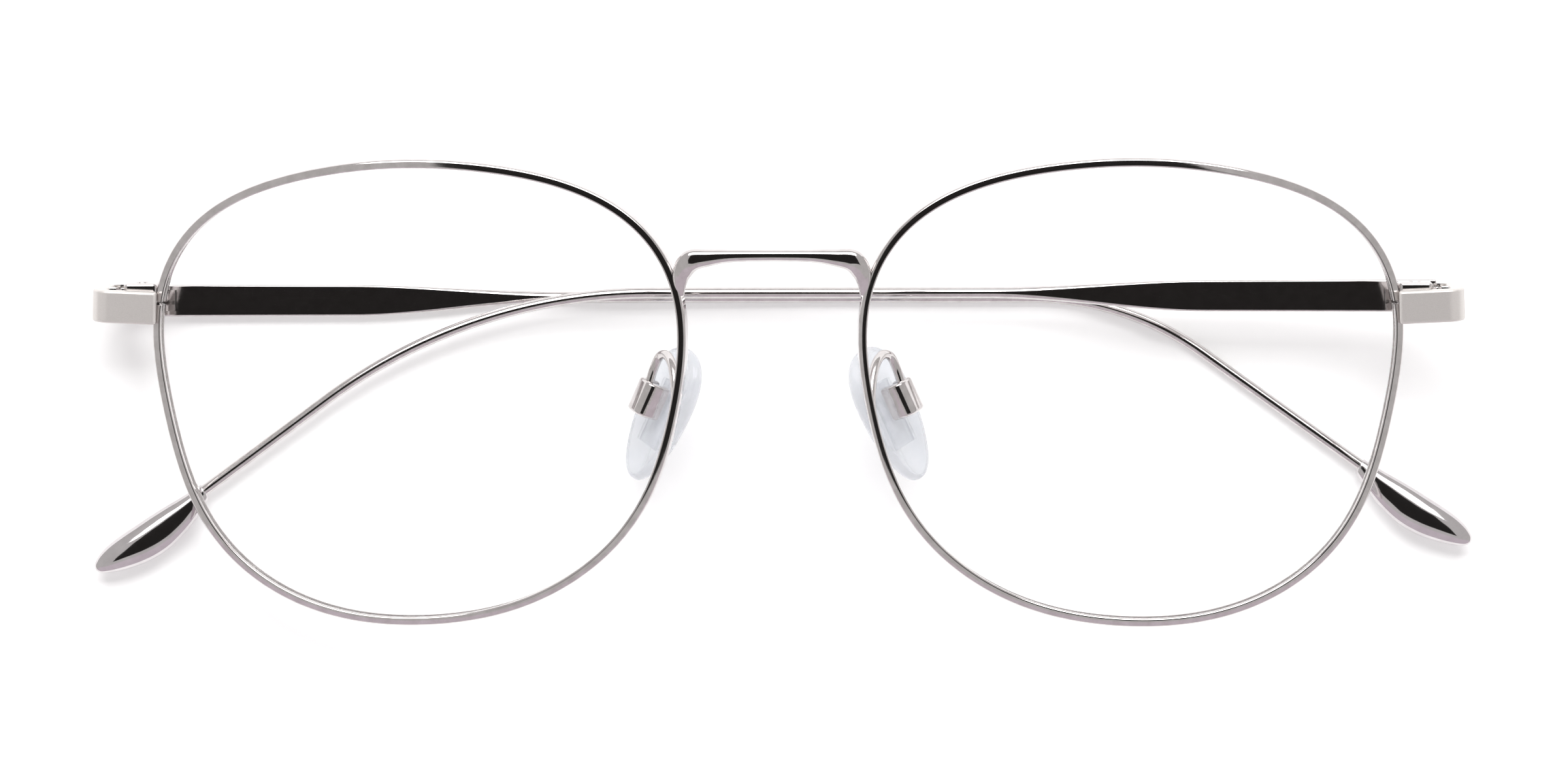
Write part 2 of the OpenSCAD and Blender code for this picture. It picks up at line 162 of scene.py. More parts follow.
def temple_frame(side):
    """X along the folded temple from its hinge, Z towards the lenses."""
    if side == "left":
        return FOLD @ shift(HINGE_X, HINGE_Y, 0) @ MIRROR
    return FOLD @ shift(-HINGE_X, HINGE_Y, 0) @ turn(ROLL, "Y")


# ---------- curves and sections ----------

def mix(a, b, t):
    return a + (b - a) * t


def smooth(t):
    t = np.clip(t, 0, 1)
    return t * t * (3 - 2 * t)


def spline(points, steps):
    """Catmull-Rom curve through rows of numbers, with each row's point kept."""
    rows = np.array(points, float)
    padded = np.vstack([rows[:1], rows, rows[-1:]])
    made = []
    for a, b, c, d in zip(padded, padded[1:], padded[2:], padded[3:]):
        for t in np.arange(steps) / steps:
            made.append(0.5 * (2 * b + (c - a) * t + (2 * a - 5 * b + 4 * c - d) * t**2
                               + (3 * b - a - 3 * c + d) * t**3))
    return np.array(made + [rows[-1]])


def squared(value, power):
    """A sine or cosine pushed outwards, from an ellipse at 2 towards a rectangle."""
    return math.copysign(abs(value) ** (2 / power), value)


# an arc takes up no more than this share of the shorter side beside its corner
SIDE_SHARE = 0.48


def rounded(corners, radii, steps=5):
    """Closed outline through 2-D corners, each cut off by an arc of its own radius."""
    points = []
    count = len(corners)
    for i in range(count):
        before, here, after = (np.array(corners[(i + k) % count], float) for k in (-1, 0, 1))
        to_before = (before - here) / np.linalg.norm(before - here)
        to_after = (after - here) / np.linalg.norm(after - here)
        half = math.acos(np.clip(to_before @ to_after, -1, 1)) / 2
        side = min(np.linalg.norm(before - here), np.linalg.norm(after - here))
        reach = min(radii[i] / math.tan(half), SIDE_SHARE * side)
        radius = reach * math.tan(half)
        bisector = (to_before + to_after) / np.linalg.norm(to_before + to_after)
        centre = here + bisector * radius / math.sin(half)
        start = here + to_before * reach - centre
        end = here + to_after * reach - centre
        sweep = math.pi - 2 * half
        for j in range(steps + 1):
            t = j / steps
            along = math.sin((1 - t) * sweep) * start + math.sin(t * sweep) * end
            points.append(centre + along / math.sin(sweep))
    return np.array(points)


# keeps the arcs of a rounded rectangle from meeting in one point
NEARLY = 0.999


def block(half_w, half_h, radius, steps=5):
    """Rounded rectangle about the origin, with the same number of points at any size."""
    radius = min(radius, NEARLY * half_w, NEARLY * half_h)
    points = []
    for k, (sx, sy) in enumerate(((1, 1), (-1, 1), (-1, -1), (1, -1))):
        for a in np.radians(90 * k + 90 * np.arange(steps + 1) / steps):
            points.append((sx * (half_w - radius) + radius * math.cos(a),
                           sy * (half_h - radius) + radius * math.sin(a)))
    return np.array(points)


def rounding(radius, steps=4):
    """(distance from the end, inset) pairs that round off an end, outermost first."""
    angles = np.radians(90 * np.arange(steps + 1) / steps)
    return [(radius * (1 - math.sin(a)), radius * (1 - math.cos(a))) for a in angles[::-1]]


# ---------- meshes ----------

# points closer than this, in metres, are one point
SAME_POINT = 1e-7
FLAT_WEIGHT = 70


def make(name, vertices, faces, side_matrix, body, slot_name, material, nodes, sharp=38):
    """A finished mesh piece that rides on a body and stands for CAD nodes."""
    mesh = bpy.data.meshes.new(name)
    mesh.from_pydata([side_matrix @ Vector(v) for v in vertices], [], faces)
    shaped = bmesh.new()
    shaped.from_mesh(mesh)
    bmesh.ops.remove_doubles(shaped, verts=shaped.verts, dist=SAME_POINT)
    bmesh.ops.recalc_face_normals(shaped, faces=shaped.faces)
    shaped.to_mesh(mesh)
    shaped.free()
    mesh.shade_smooth()
    mesh.set_sharp_from_angle(angle=math.radians(sharp))
    mesh.materials.append(material)
    piece = bpy.data.objects.new(name, mesh)
    bpy.context.scene.collection.objects.link(piece)
    even_normals(piece)
    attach(piece, body)
    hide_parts(*nodes)
    return piece


def even_normals(piece):
    """Keeps flat faces flat between their rounded edges."""
    modifier = piece.modifiers.new("even normals", "WEIGHTED_NORMAL")
    modifier.keep_sharp = True
    modifier.weight = FLAT_WEIGHT


def skin(rings):
    """Vertices and faces of a closed skin over rings of points, with flat ends."""
    rings = np.array(rings, float)
    count, n = rings.shape[:2]
    faces = []
    for i in range(count - 1):
        for j in range(n):
            a, b = i * n + j, i * n + (j + 1) % n
            faces.append((a, b, b + n, a + n))
    faces.append(tuple(range(n))[::-1])
    faces.append(tuple((count - 1) * n + j for j in range(n)))
    return rings.reshape(-1, 3), faces


def tube_frames(path):
    """Unit tangents and two unit normals along a path, turned as little as possible."""
    path = np.array(path, float)
    tangents = np.gradient(path, axis=0)
    tangents /= np.linalg.norm(tangents, axis=1)[:, None]
    side = np.cross(tangents[0], (0, 0, 1.0))
    side /= np.linalg.norm(side)
    frames = []
    for t in tangents:
        side = side - t * (side @ t)
        side /= np.linalg.norm(side)
        frames.append((t, side, np.cross(side, t)))
    return frames


# ---------- materials ----------

# the range that most values of a noise lie in
NOISE_LOW = 0.3
NOISE_HIGH = 0.7


class Nodes:
    """Short spellings for one material's node tree."""

    def __init__(self, name):
        self.material = bpy.data.materials.new(name)
        self.material.use_nodes = True
        self.tree = self.material.node_tree
        self.shader = self.tree.nodes["Principled BSDF"]
        coordinates = self.tree.nodes.new("ShaderNodeTexCoord")
        self.place = coordinates.outputs["Object"]

    def add(self, kind, **values):
        node = self.tree.nodes.new(kind)
        for key, value in values.items():
            setattr(node, key, value)
        return node

    def join(self, output, socket):
        self.tree.links.new(output, socket)

    def stretched(self, scale):
        mapping = self.add("ShaderNodeMapping")
        mapping.inputs["Scale"].default_value = scale
        self.join(self.place, mapping.inputs["Vector"])
        return mapping.outputs["Vector"]

    def noise(self, scale, detail=4.0, rough=0.55, stretch=(1, 1, 1)):
        texture = self.add("ShaderNodeTexNoise")
        texture.inputs["Scale"].default_value = scale
        texture.inputs["Detail"].default_value = detail
        texture.inputs["Roughness"].default_value = rough
        self.join(self.stretched(stretch), texture.inputs["Vector"])
        return texture.outputs["Fac"]

    def between(self, output, low, high, start=NOISE_LOW, end=NOISE_HIGH):
        """Spreads a noise's middle range over low to high."""
        spread = self.add("ShaderNodeMapRange")
        spread.inputs["From Min"].default_value = start
        spread.inputs["From Max"].default_value = end
        spread.inputs["To Min"].default_value = low
        spread.inputs["To Max"].default_value = high
        self.join(output, spread.inputs["Value"])
        return spread.outputs["Result"]

    def tones(self, output, dark, light):
        ramp = self.add("ShaderNodeValToRGB")
        ramp.color_ramp.elements[0].position = NOISE_LOW
        ramp.color_ramp.elements[0].color = (*dark, 1)
        ramp.color_ramp.elements[1].position = NOISE_HIGH
        ramp.color_ramp.elements[1].color = (*light, 1)
        self.join(output, ramp.inputs["Fac"])
        return ramp.outputs["Color"]

    def bump(self, output, depth_mm, strength=1.0):
        bump = self.add("ShaderNodeBump")
        bump.inputs["Distance"].default_value = depth_mm * MM
        bump.inputs["Strength"].default_value = strength
        self.join(output, bump.inputs["Height"])
        self.join(bump.outputs["Normal"], self.shader.inputs["Normal"])

    def set(self, **values):
        for key, value in values.items():
            self.shader.inputs[key.replace("_", " ")].default_value = value


def polished_metal(name, dark, light, rough_low, rough_high, grain=900.0, depth=0.0004):
    """Plated wire: nearly a mirror, with cloudy polish marks and hairline scratches."""
    nodes = Nodes(name)
    cloud = nodes.noise(grain, detail=6.0)
    nodes.join(nodes.tones(cloud, dark, light), nodes.shader.inputs["Base Color"])
    scratches = nodes.noise(grain, detail=8.0, rough=0.7, stretch=(0.4, 3.0, 3.0))
    nodes.join(nodes.between(scratches, rough_low, rough_high), nodes.shader.inputs["Roughness"])
    nodes.bump(nodes.noise(2.2 * grain, detail=3.0), depth)
    nodes.set(Metallic=1.0)
    return nodes.material


def satin_metal():
    """Sand-blasted end pieces: a fine even grain over a warm grey."""
    nodes = Nodes("satin metal")
    grain = nodes.noise(9000.0, detail=5.0, rough=0.75)
    colour = nodes.tones(grain, (0.68, 0.65, 0.625), (0.76, 0.73, 0.705))
    nodes.join(colour, nodes.shader.inputs["Base Color"])
    nodes.join(nodes.between(grain, 0.36, 0.46), nodes.shader.inputs["Roughness"])
    nodes.bump(grain, 0.0006)
    nodes.set(Metallic=0.55)
    return nodes.material


def clear_lens():
    """Thin clear lens with a faint coating and a little dust."""
    nodes = Nodes("clear lens")
    dust = nodes.noise(1500.0, detail=5.0, rough=0.7)
    nodes.join(nodes.between(dust, 0.0, 0.03, 0.55, 0.8), nodes.shader.inputs["Roughness"])
    colour = nodes.tones(dust, (0.96, 0.975, 0.97), (1.0, 1.0, 1.0))
    nodes.join(colour, nodes.shader.inputs["Base Color"])
    nodes.set(Transmission_Weight=1.0, IOR=1.03, Alpha=0.12)
    return nodes.material


def clear_silicone():
    """Soft clear silicone: cool, slightly cloudy, and glossy from the mould."""
    nodes = Nodes("clear silicone")
    cloud = nodes.noise(420.0, detail=5.0, rough=0.6)
    colour = nodes.tones(cloud, (0.70, 0.74, 0.80), (0.84, 0.865, 0.90))
    nodes.join(colour, nodes.shader.inputs["Base Color"])
    nodes.join(nodes.between(cloud, 0.10, 0.24), nodes.shader.inputs["Roughness"])
    nodes.bump(nodes.noise(700.0, detail=3.0), 0.02)
    nodes.set(Transmission_Weight=0.6, IOR=1.41, Alpha=0.62, Specular_IOR_Level=0.6)
    return nodes.material


def insert_plastic():
    """Harder clear plate inside each pad."""
    nodes = Nodes("insert plastic")
    cloud = nodes.noise(800.0, detail=4.0)
    colour = nodes.tones(cloud, (0.86, 0.88, 0.92), (0.96, 0.97, 0.99))
    nodes.join(colour, nodes.shader.inputs["Base Color"])
    nodes.join(nodes.between(cloud, 0.05, 0.15), nodes.shader.inputs["Roughness"])
    nodes.set(Transmission_Weight=0.8, IOR=1.5, Alpha=0.6)
    return nodes.material


POLISHED = polished_metal("polished metal", dark=(0.60, 0.572, 0.565), light=(0.70, 0.672, 0.668),
                          rough_low=0.05, rough_high=0.10)
TIP_METAL = polished_metal("tip metal", dark=(0.63, 0.602, 0.61), light=(0.71, 0.684, 0.69),
                           rough_low=0.05, rough_high=0.09, grain=700.0)
SCREW_STEEL = polished_metal("screw steel", dark=(0.60, 0.575, 0.56), light=(0.74, 0.71, 0.69),
                             rough_low=0.14, rough_high=0.24, grain=1600.0)
SATIN = satin_metal()
LENS_CLEAR = clear_lens()
SILICONE = clear_silicone()
INSERT = insert_plastic()


# ---------- rims and lenses ----------

RIM_RINGS = 480
RIM_FRONT_R = 0.24
RIM_BACK_R = 0.32
GROOVE_R = 0.05
# sines below this count as zero
TINY = 1e-6


def rim_radius(angle):
    """Outer radius at an angle in degrees: a smooth periodic curve through RIM_RADII."""
    n = len(RIM_RADII)
    total = 0.0
    for k, radius in enumerate(RIM_RADII):
        x = math.radians(angle - 360 * k / n)
        half = math.tan(x / 2)
        weight = 1.0 if abs(math.sin(x / 2)) < TINY else math.sin(n * x / 2) / (n * half)
        total += radius * weight
    return total


def rim_flat(angle):
    radius = rim_radius(angle)
    return np.array((radius * math.cos(math.radians(angle)), radius * math.sin(math.radians(angle))))


def rim_at(angle):
    """Point on the rim's outer edge and the outward normal there."""
    along = rim_flat(angle + 1) - rim_flat(angle - 1)
    along /= np.linalg.norm(along)
    return rim_flat(angle), np.array((along[1], -along[0]))


def on_lens(flat, z):
    """Lays a flat point, or rows of them, on the lens curve."""
    flat = np.atleast_2d(flat)
    height = np.sqrt(LENS_CURVE_R**2 - (flat**2).sum(1)) - LENS_CURVE_R + z
    return np.column_stack([flat, height])


def rim_section():
    w, d = RIM_WIDE / 2, RIM_DEEP / 2
    outside = [(w, d), (w, -d), (-w, -d)]
    groove = [(-w, -GROOVE_HIGH), (GROOVE_BOTTOM, 0), (-w, GROOVE_HIGH)]
    radii = [RIM_FRONT_R, RIM_BACK_R, RIM_BACK_R, GROOVE_R, GROOVE_R, GROOVE_R, RIM_FRONT_R]
    return rounded(outside + groove + [(-w, d)], radii)


def rim(side):
    section = rim_section()
    rings = []
    for t in np.arange(RIM_RINGS + 1) / RIM_RINGS:
        angle = RIM_SPLIT_ANGLE + RIM_SPLIT + (360 - 2 * RIM_SPLIT) * t
        point, normal = rim_at(angle)
        flat = point + (section[:, :1] - RIM_WIDE / 2) * normal
        rings.append(on_lens(flat, section[:, 1]))
    make(f"rim_{side}_finished", *skin(rings), lens_frame(side), "front", "polished_metal", POLISHED,
         [f"rim_{side}"])


LENS_TURNS = 200
LENS_BEVEL_R = 0.1
# how far out each ring of a lens surface lies
LENS_SHARES = (0.02, 0.15, 0.3, 0.45, 0.6, 0.75, 0.88, 0.985)


def lens(side):
    """Back surface, bevelled edge and front surface, as rows of rings from the middle outwards and back."""
    half = LENS_THICK / 2
    flat = -RIM_WIDE / 2 - LENS_EDGE_GAP
    tip = GROOVE_BOTTOM - LENS_EDGE_GAP
    rows = [(f, flat, -half) for f in LENS_SHARES]
    rows += [(1, flat, z) for z in (-half + LENS_BEVEL_R, -GROOVE_HIGH)]
    rows += [(1, tip, 0)]
    rows += [(1, flat, z) for z in (GROOVE_HIGH, half - LENS_BEVEL_R)]
    rows += [(f, flat, half) for f in LENS_SHARES[::-1]]
    edge = [rim_at(360 * i / LENS_TURNS) for i in range(LENS_TURNS)]
    rings = []
    for share, out, z in rows:
        flat_ring = np.array([share * (point + (out - RIM_WIDE / 2) * normal) for point, normal in edge])
        rings.append(on_lens(flat_ring, z))
    make(f"lens_{side}_finished", *skin(rings), lens_frame(side), "front", "clear_lens", LENS_CLEAR,
         [f"lens_{side}"])


# ---------- bridge ----------

# one half of the bridge from its middle to its foot on the rim: x, y, z, half width, half depth
BRIDGE_HALF = (
    (0.0, BRIDGE_Y, 0.35, BRIDGE_THICK / 2, 0.75),
    (3.9, BRIDGE_Y - 0.05, 0.33, 0.64, 0.78),
    (6.4, BRIDGE_Y - 0.25, 0.25, 0.87, 0.85),
    (8.2, 13.72, 0.1, 1.14, 0.95),
    (9.05, 12.6, -0.1, 1.0, 0.85),
    (9.3, 11.4, -0.2, 0.7, 0.65),
    (9.25, 10.2, -0.3, 0.36, 0.45),
)
BRIDGE_SQUARE = 2.7
BRIDGE_STEPS = 12
BRIDGE_POINTS = 40


def bridge():
    half = spline(BRIDGE_HALF, BRIDGE_STEPS)
    other = half[:0:-1] * (-1, 1, 1, 1, 1)
    rows = np.vstack([other, half])
    rings = []
    for (tangent, _, _), row in zip(tube_frames(rows[:, :3]), rows):
        side = np.cross(tangent, (0, 0, 1.0))
        side /= np.linalg.norm(side)
        front = np.cross(side, tangent)
        ring = []
        for a in np.radians(360 * np.arange(BRIDGE_POINTS) / BRIDGE_POINTS):
            u, v = squared(math.cos(a), BRIDGE_SQUARE), squared(math.sin(a), BRIDGE_SQUARE)
            ring.append(row[:3] + row[3] * u * side + row[4] * v * front)
        rings.append(ring)
    make("bridge_finished", *skin(rings), FRONT, "front", "polished_metal", POLISHED, ["bridge"])


# ---------- end pieces ----------

END_EDGE_R = 0.28
END_INNER_R = 0.5
END_ROOM_STEPS = 8
# smallest turn of the room for the knuckles, in radians
END_ROOM_LEAST = 0.02


def end_outline(y, inset):
    """Outline of an end piece in x and z of the front frame, cut square to the folded temple."""
    tilt = math.radians(PANTO)
    butt = (BUTT_GAP - FRONT_AHEAD - y * math.sin(tilt)) / math.cos(tilt)
    axis_z = (-FRONT_AHEAD - y * math.sin(tilt)) / math.cos(tilt)
    inner_x, outer_x = END_INNER_X + inset, FRONT_W / 2 - inset
    face_z, back_z = END_FACE_Z - inset, END_FACE_Z - END_PLATE + inset
    leg_x = FRONT_W / 2 - END_LEG + inset
    room = KNUCKLE_R + KNUCKLE_ROOM + inset
    corner_r = END_CORNER_R - inset
    back = [(leg_x, back_z), (inner_x, back_z)]
    face = [(inner_x, face_z), (outer_x, face_z), (outer_x, butt + inset)]
    main = rounded(back + face, [END_INNER_R, END_EDGE_R, END_EDGE_R, corner_r, END_EDGE_R])
    low = math.asin(min(1, (BUTT_GAP + inset) / room))
    high = math.acos(min(1, (leg_x - HINGE_X) / room))
    notch = [(HINGE_X + room * math.cos(a), axis_z + room * math.sin(a))
             for a in np.linspace(low, max(high, low + END_ROOM_LEAST), END_ROOM_STEPS)]
    return np.vstack([main, notch])


def endpiece(side):
    rings = []
    ends = rounding(END_EDGE_R)
    heights = [(END_HIGH / 2 - along, inset) for along, inset in ends]
    levels = heights + [(-y, inset) for y, inset in heights[::-1]]
    for y, inset in levels:
        outline = end_outline(END_Y + y, inset)
        rings.append(np.column_stack([outline[:, 0], np.full(len(outline), y), outline[:, 1]]))
    about = shift(FRONT_W / 2, END_Y, 0) @ turn(END_TILT, "Z") @ shift(-FRONT_W / 2, 0, 0)
    make(f"endpiece_{side}_finished", *skin(rings), front_side(side) @ about, "front", "satin_metal", SATIN,
         [f"endpiece_{side}"])


# ---------- temples and tips ----------

PLATE_CORNER_R = 0.2
PLATE_END_R = 0.22
# distance from the hinge axis to the plate's end
PLATE_START = 0.05
# distance between the sections of a temple
TEMPLE_STEP = 0.8
TAPER_START = 24.0
TAPER_LEN = 22.0
PLATE_SLOPE = 0.006
BOW_START = 110.0
TIP_BORE = 9.0
# gap between the wire's end and the bottom of the tip's bore
TIP_BORE_REST = 0.2


def taper(s):
    return smooth((s - TAPER_START) / TAPER_LEN)


def temple_high(s):
    return mix(PLATE_HIGH - PLATE_SLOPE * s, WIRE_D, taper(s))


def temple_thick(s):
    return mix(PLATE_THICK, WIRE_D, taper(s))


def temple_corner(s):
    return mix(PLATE_CORNER_R, WIRE_D / 2, taper(s))


def temple_bow(side, s):
    return TIP_BOW * (max(0.0, s - BOW_START) / (TEMPLE_LEN[side] - BOW_START))**2


def bend_len(side):
    return BEND_R[side] * math.radians(BEND_ANGLE[side])


def temple_line(side, s):
    """Centre line of a temple: x, y and the turn in radians."""
    a = math.radians(BEND_ANGLE[side]) * min(1.0, max(0.0, (s - BEND_START[side]) / bend_len(side)))
    rest = max(0.0, s - BEND_START[side] - bend_len(side))
    x = min(s, BEND_START[side]) + BEND_R[side] * math.sin(a) + rest * math.cos(a)
    y = -BEND_R[side] * (1 - math.cos(a)) - rest * math.sin(a) + TEMPLE_LIFT[side] + WIRE_RISE * taper(s)
    return x, y, a


def temple_ring(side, s, section):
    """A section of (thickness, height) points set across a temple at a distance from its hinge."""
    x, y, a = temple_line(side, s)
    depth = section[:, 0] - HINGE_IN + temple_thick(s) / 2 + temple_bow(side, s)
    return np.column_stack([x + section[:, 1] * math.sin(a), y + section[:, 1] * math.cos(a), depth])


def temple(side):
    end = TEMPLE_LEN[side] - TIP_LEN + TIP_BORE - TIP_BORE_REST
    stations = [(PLATE_START + along, inset) for along, inset in rounding(PLATE_END_R)]
    stations += [(s, 0.0) for s in np.arange(TEMPLE_STEP, end, TEMPLE_STEP)] + [(end, 0.0)]
    rings = []
    for s, inset in stations:
        section = block(temple_thick(s) / 2 - inset, temple_high(s) / 2 - inset, temple_corner(s))
        rings.append(temple_ring(side, s, section))
    make(f"temple_{side}_finished", *skin(rings), temple_frame(side), f"temple_{side}",
         "polished_metal", POLISHED, [f"temple_{side}"])


# half height and half thickness of a tip, and the drop of its middle, at shares of its length
TIP_SHAPE = (
    (0.000, 0.80, 0.76, -0.10),
    (0.06, 1.02, 0.86, -0.26),
    (0.19, 1.42, 1.00, -0.52),
    (0.31, 1.73, 1.09, -0.65),
    (0.45, 1.96, 1.20, -0.72),
    (0.58, 1.98, 1.27, -0.65),
    (0.70, 1.86, 1.25, -0.45),
    (0.82, 1.56, 1.10, -0.19),
    (0.91, 1.16, 0.86, -0.03),
    (0.965, 0.76, 0.58, 0.03),
    (0.99, 0.43, 0.34, 0.05),
    (1.000, 0.12, 0.10, 0.05),
)
TIP_EDGE_R = 0.12
TIP_STEPS = 10


def tip(side):
    start = TEMPLE_LEN[side] - TIP_LEN
    rows = [(along / TIP_LEN, TIP_SHAPE[0][1] - inset, TIP_SHAPE[0][2] - inset, 0.0)
            for along, inset in rounding(TIP_EDGE_R)][:-1]
    rows += [tuple(row) for row in spline(TIP_SHAPE, TIP_STEPS) if row[0] * TIP_LEN > TIP_EDGE_R]
    rings = []
    for share, half_high, half_thick, drop in rows:
        section = oval(half_thick, half_high) + (0, drop)
        rings.append(temple_ring(side, start + share * TIP_LEN, section))
    make(f"tip_{side}_finished", *skin(rings), temple_frame(side), f"temple_{side}", "tip_metal", TIP_METAL,
         [f"tip_{side}"])


def oval(half_w, half_h, count=40):
    a = np.radians(360 * np.arange(count) / count)
    return np.column_stack([half_w * np.cos(a), half_h * np.sin(a)])


# ---------- nose pads ----------

ARM_STEPS = 14
ARM_POINTS = 24
ARM_CAP_STEPS = 5
# share of the wire's radius at which a rounded end is closed
ARM_CAP_SHARE = 0.98


def round_ring(centre, radius, across, up):
    return [centre + radius * (math.cos(a) * across + math.sin(a) * up)
            for a in np.radians(360 * np.arange(ARM_POINTS) / ARM_POINTS)]


def pad_arm(side):
    path = spline(ARM_PATH, ARM_STEPS)
    radius = PAD_WIRE_D / 2
    frames = tube_frames(path)
    rings = [round_ring(point, radius, across, up) for (_, across, up), point in zip(frames, path)]
    for end, (ahead, across, up), sign in ((path[0], frames[0], -1), (path[-1], frames[-1], 1)):
        cap = []
        for along, inset in rounding(radius, ARM_CAP_STEPS)[::-1][1:]:
            centre = end + sign * ahead * (radius - along)
            cap.append(round_ring(centre, radius - min(inset, ARM_CAP_SHARE * radius), across, up))
        rings = cap[::-1] + rings if sign < 0 else rings + cap
    make(f"pad_arm_{side}_finished", *skin(rings), front_side(side), "front", "polished_metal", POLISHED,
         [f"pad_arm_{side}"])


BOX_EDGE_R = 0.3
BOX_BACK_R = 1.1
BOX_LIP_R = 0.15
BOX_MOUTH_R = 0.08
BOX_SLOT_R = 0.2
BOX_WALL = 0.5
# how much of an end's inset the slot takes up on each side
SLOT_FLARE = 0.5


def pad_box(side):
    """A cup with a round back, a flat screw face and an open side that takes the pad's tab."""
    x0, x1 = PAD_BOX_X, PAD_BOX_X + PAD_BOX_SIZE[0]
    half_y, half_z, slot = PAD_BOX_SIZE[1] / 2, PAD_BOX_SIZE[2] / 2, PAD_SLOT / 2
    floor_x = x1 - BOX_WALL
    rings = []
    ends = rounding(BOX_EDGE_R)
    levels = [(half_y - along, inset) for along, inset in ends]
    levels += [(-y, inset) for y, inset in levels[::-1]]
    for y, inset in levels:
        near, far, top, mouth = x0 + inset, x1 - inset, half_z - inset, slot + SLOT_FLARE * inset
        shell = [(near, top), (far, top), (far, -top), (near, -top)]
        cup = [(near, -mouth), (floor_x, -mouth), (floor_x, mouth), (near, mouth)]
        shell_radii = [BOX_LIP_R, BOX_BACK_R, BOX_BACK_R, BOX_LIP_R]
        cup_radii = [BOX_MOUTH_R, BOX_SLOT_R, BOX_SLOT_R, BOX_MOUTH_R]
        outline = rounded(shell + cup, shell_radii + cup_radii)
        rings.append(np.column_stack([outline[:, 0], np.full(len(outline), y), outline[:, 1]]))
    make(f"pad_box_{side}_finished", *skin(rings), pad_frame(side), "front", "polished_metal", POLISHED,
         [f"pad_box_{side}"])


# rings of a pad from its back face to the top of its dome: depth share, size share
PAD_LAYERS = ((0.0, 0.40), (0.0, 0.78), (0.05, 0.90), (0.15, 0.965), (0.32, 1.0), (0.5, 0.985), (0.68, 0.92),
              (0.82, 0.81), (0.92, 0.66), (0.98, 0.46), (1.0, 0.2))
PAD_TAPER = 0.2
PAD_SQUARE = 2.3
PAD_SHARP = 60


def pad_outline(size, count=72):
    """Full oval, slightly wider at the top: height along Y, width along Z."""
    points = []
    for a in np.radians(360 * np.arange(count) / count):
        y = squared(math.cos(a), PAD_SQUARE)
        z = squared(math.sin(a), PAD_SQUARE) * (1 + PAD_TAPER * y)
        points.append((size * PAD_SIZE[0] / 2 * y - PAD_DROP, size * PAD_SIZE[1] / 2 * z))
    return np.array(points)


def nose_pad(side):
    rings = []
    for depth, size in PAD_LAYERS:
        outline = pad_outline(size)
        rings.append(np.column_stack([np.full(len(outline), PAD_BACK_X - PAD_THICK * depth), outline]))
    piece = make(f"nose_pad_{side}_finished", *skin(rings), pad_frame(side), f"pad_{side}", "clear_silicone",
                 SILICONE, [f"nose_pad_{side}"], sharp=PAD_SHARP)
    soften = piece.modifiers.new("soft", "SUBSURF")
    soften.levels = soften.render_levels = 1
    piece.modifiers.move(len(piece.modifiers) - 1, 0)


# ---------- CAD nodes that keep their shape ----------

# bevel widths in millimetres
KEPT_BEVEL = {"rim_lock_upper": 0.3, "rim_lock_lower": 0.3, "hinge_front": 0.12, "temple_hinge": 0.12,
              "hinge_screw": 0.06, "rim_screw": 0.06, "pad_screw": 0.04, "pad_insert": 0.15}
KEPT_MATERIAL = {"hinge_screw": SCREW_STEEL, "rim_screw": SCREW_STEEL, "pad_screw": SCREW_STEEL,
                 "pad_insert": INSERT}

# in metres
KEPT_WELD = 1e-6
KEPT_BEVEL_STEPS = 3
KEPT_BEVEL_ANGLE = 40


def finish_kept(side):
    for part, width in KEPT_BEVEL.items():
        node = frame["nodes"][f"{part}_{side}"]
        node.data.materials.clear()
        node.data.materials.append(KEPT_MATERIAL.get(part, POLISHED))
        weld = node.modifiers.new("weld", "WELD")
        weld.merge_threshold = KEPT_WELD
        bevel = node.modifiers.new("bevel", "BEVEL")
        bevel.width = width * MM
        bevel.segments = KEPT_BEVEL_STEPS
        bevel.limit_method = "ANGLE"
        bevel.angle_limit = math.radians(KEPT_BEVEL_ANGLE)
        even_normals(node)


# ---------- studio and camera ----------

# in millimetres, straight above the glasses
CAMERA_AT = (0.089, 0.07, 516.0)
CAMERA_LENS = 113.55
SENSOR = 36.0
# in metres
NEAR_CLIP = 0.02
FAR_CLIP = 20.0


def camera():
    data = bpy.data.cameras.new("camera")
    data.lens = CAMERA_LENS
    data.sensor_width = SENSOR
    data.clip_start = NEAR_CLIP
    data.clip_end = FAR_CLIP
    view = bpy.data.objects.new("camera", data)
    view.location = Vector(CAMERA_AT) * MM
    bpy.context.scene.collection.objects.link(view)
    bpy.context.scene.camera = view


def level_corners(half_wide, from_y, to_y, z):
    """Corners of a level card that reaches equally far to both sides."""
    return [(-half_wide, from_y, z), (half_wide, from_y, z), (half_wide, to_y, z), (-half_wide, to_y, z)]


def card(name, corners, color, strength, seen=False):
    """A flat stage card that shines evenly, or is plain black at strength 0."""
    mesh = bpy.data.meshes.new(name)
    mesh.from_pydata(corners, [], [tuple(range(len(corners)))])
    material = bpy.data.materials.new(name)
    material.use_nodes = True
    shader = material.node_tree.nodes["Principled BSDF"]
    shader.inputs["Base Color"].default_value = (0, 0, 0, 1)
    shader.inputs["Roughness"].default_value = 1.0
    shader.inputs["Specular IOR Level"].default_value = 0.0
    shader.inputs["Emission Color"].default_value = (*color, 1)
    shader.inputs["Emission Strength"].default_value = strength
    mesh.materials.append(material)
    made = bpy.data.objects.new(name, mesh)
    bpy.context.scene.collection.objects.link(made)
    made.visible_camera = seen
    return made


# light the floor gives off, which keeps all but the contact shadows white
FLOOR_GLOW = 0.3
FLOOR_WHITE = (0.9, 0.9, 0.9)
# half a side of the floor, in metres
FLOOR_REACH = 3.0
# the floor lies this many millimetres under the glasses
FLOOR_GAP = 0.02


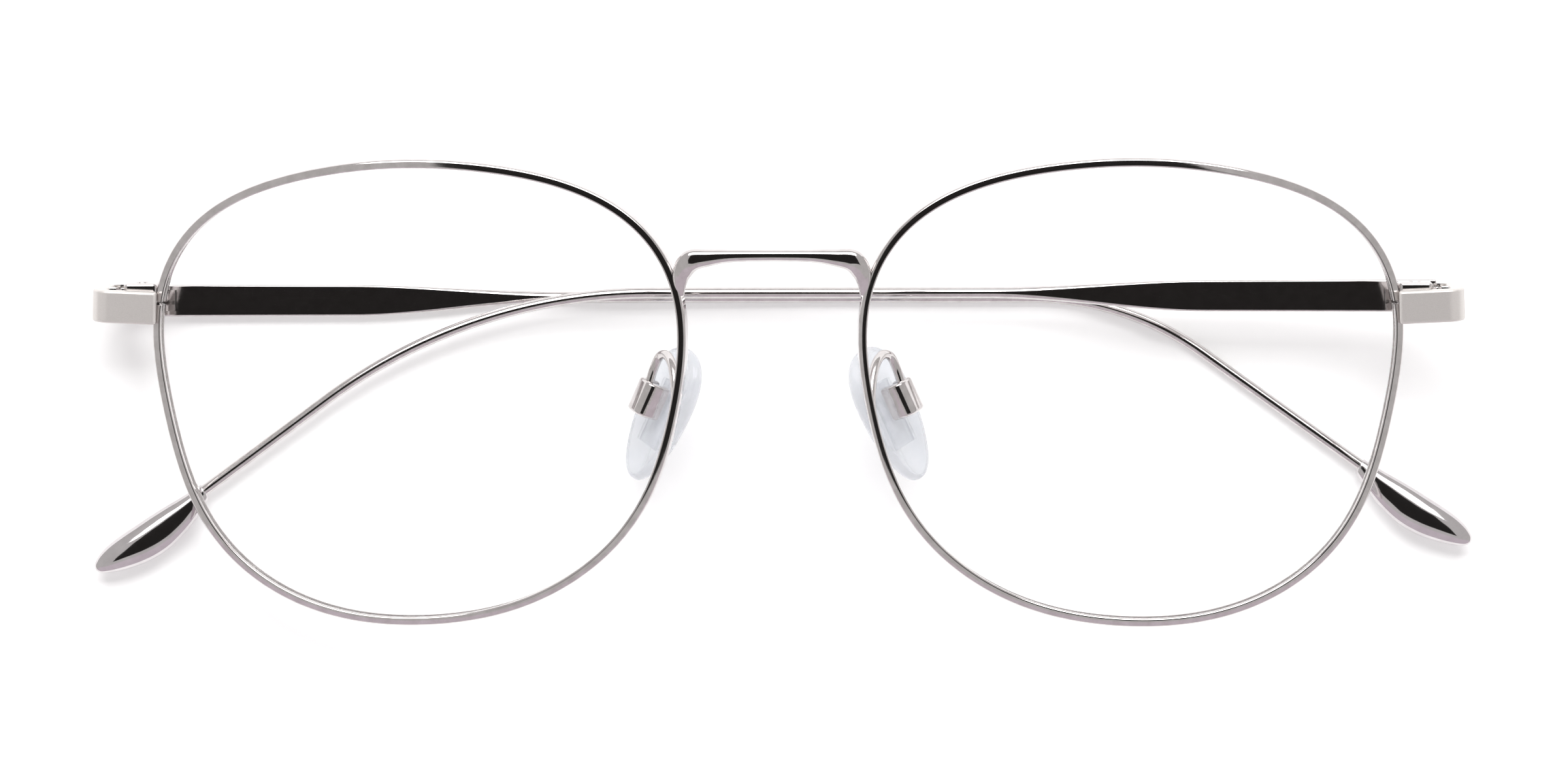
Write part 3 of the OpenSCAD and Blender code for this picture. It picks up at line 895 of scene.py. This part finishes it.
def floor():
    corners = level_corners(FLOOR_REACH, -FLOOR_REACH, FLOOR_REACH, 0)
    made = card("floor", corners, (1, 1, 1), FLOOR_GLOW, seen=True)
    shader = made.data.materials[0].node_tree.nodes["Principled BSDF"]
    shader.inputs["Base Color"].default_value = (*FLOOR_WHITE, 1)
    made.location.z = -FLOOR_GAP * MM


def soft_light(name, at, target, size, power):
    data = bpy.data.lights.new(name, "AREA")
    data.shape = "RECTANGLE"
    data.size, data.size_y = size
    data.energy = power
    light = bpy.data.objects.new(name, data)
    light.location = at
    light.rotation_mode = "QUATERNION"
    light.rotation_quaternion = (Vector(target) - Vector(at)).to_track_quat("-Z", "Y")
    bpy.context.scene.collection.objects.link(light)


# a glow is a colour and a strength; places and sizes are in metres from the frame's origin
WORLD_GLOW = ((0.97, 0.95, 0.94), 0.62)
BLACK_HALF_WIDE = 0.38
BLACK_FROM_Y = -0.466
BLACK_TO_Y = 0.40
BLACK_HIGH = 1.0
BLACK_GLOW = ((1.0, 0.93, 0.9), 0.022)
WALL_HALF_WIDE = 2.0
WALL_Y = -1.3
WALL_HIGH = 1.6
WALL_GLOW = ((0.80, 0.72, 0.78), 0.85)
KEY_AT = (0.0, 1.25, 1.35)
KEY_SIZE = (1.9, 1.0)
KEY_POWER = 34.0


def studio():
    color, strength = WORLD_GLOW
    world = bpy.data.worlds.new("studio")
    world.use_nodes = True
    background = world.node_tree.nodes["Background"]
    background.inputs["Color"].default_value = (*color, 1)
    background.inputs["Strength"].default_value = strength
    bpy.context.scene.world = world
    floor()
    black = level_corners(BLACK_HALF_WIDE, BLACK_FROM_Y, BLACK_TO_Y, BLACK_HIGH)
    card("overhead black", black, *BLACK_GLOW)
    wall = [(side * WALL_HALF_WIDE, WALL_Y, z)
            for side, z in ((-1, 0.0), (1, 0.0), (1, WALL_HIGH), (-1, WALL_HIGH))]
    card("lilac wall", wall, *WALL_GLOW)
    soft_light("key", KEY_AT, (0, 0, 0), KEY_SIZE, KEY_POWER)
    bpy.context.scene.view_settings.view_transform = "Standard"


# ---------- everything together ----------

camera()
studio()
bridge()
for side in SIDES:
    rim(side)
    lens(side)
    endpiece(side)
    temple(side)
    tip(side)
    pad_arm(side)
    pad_box(side)
    nose_pad(side)
    finish_kept(side)
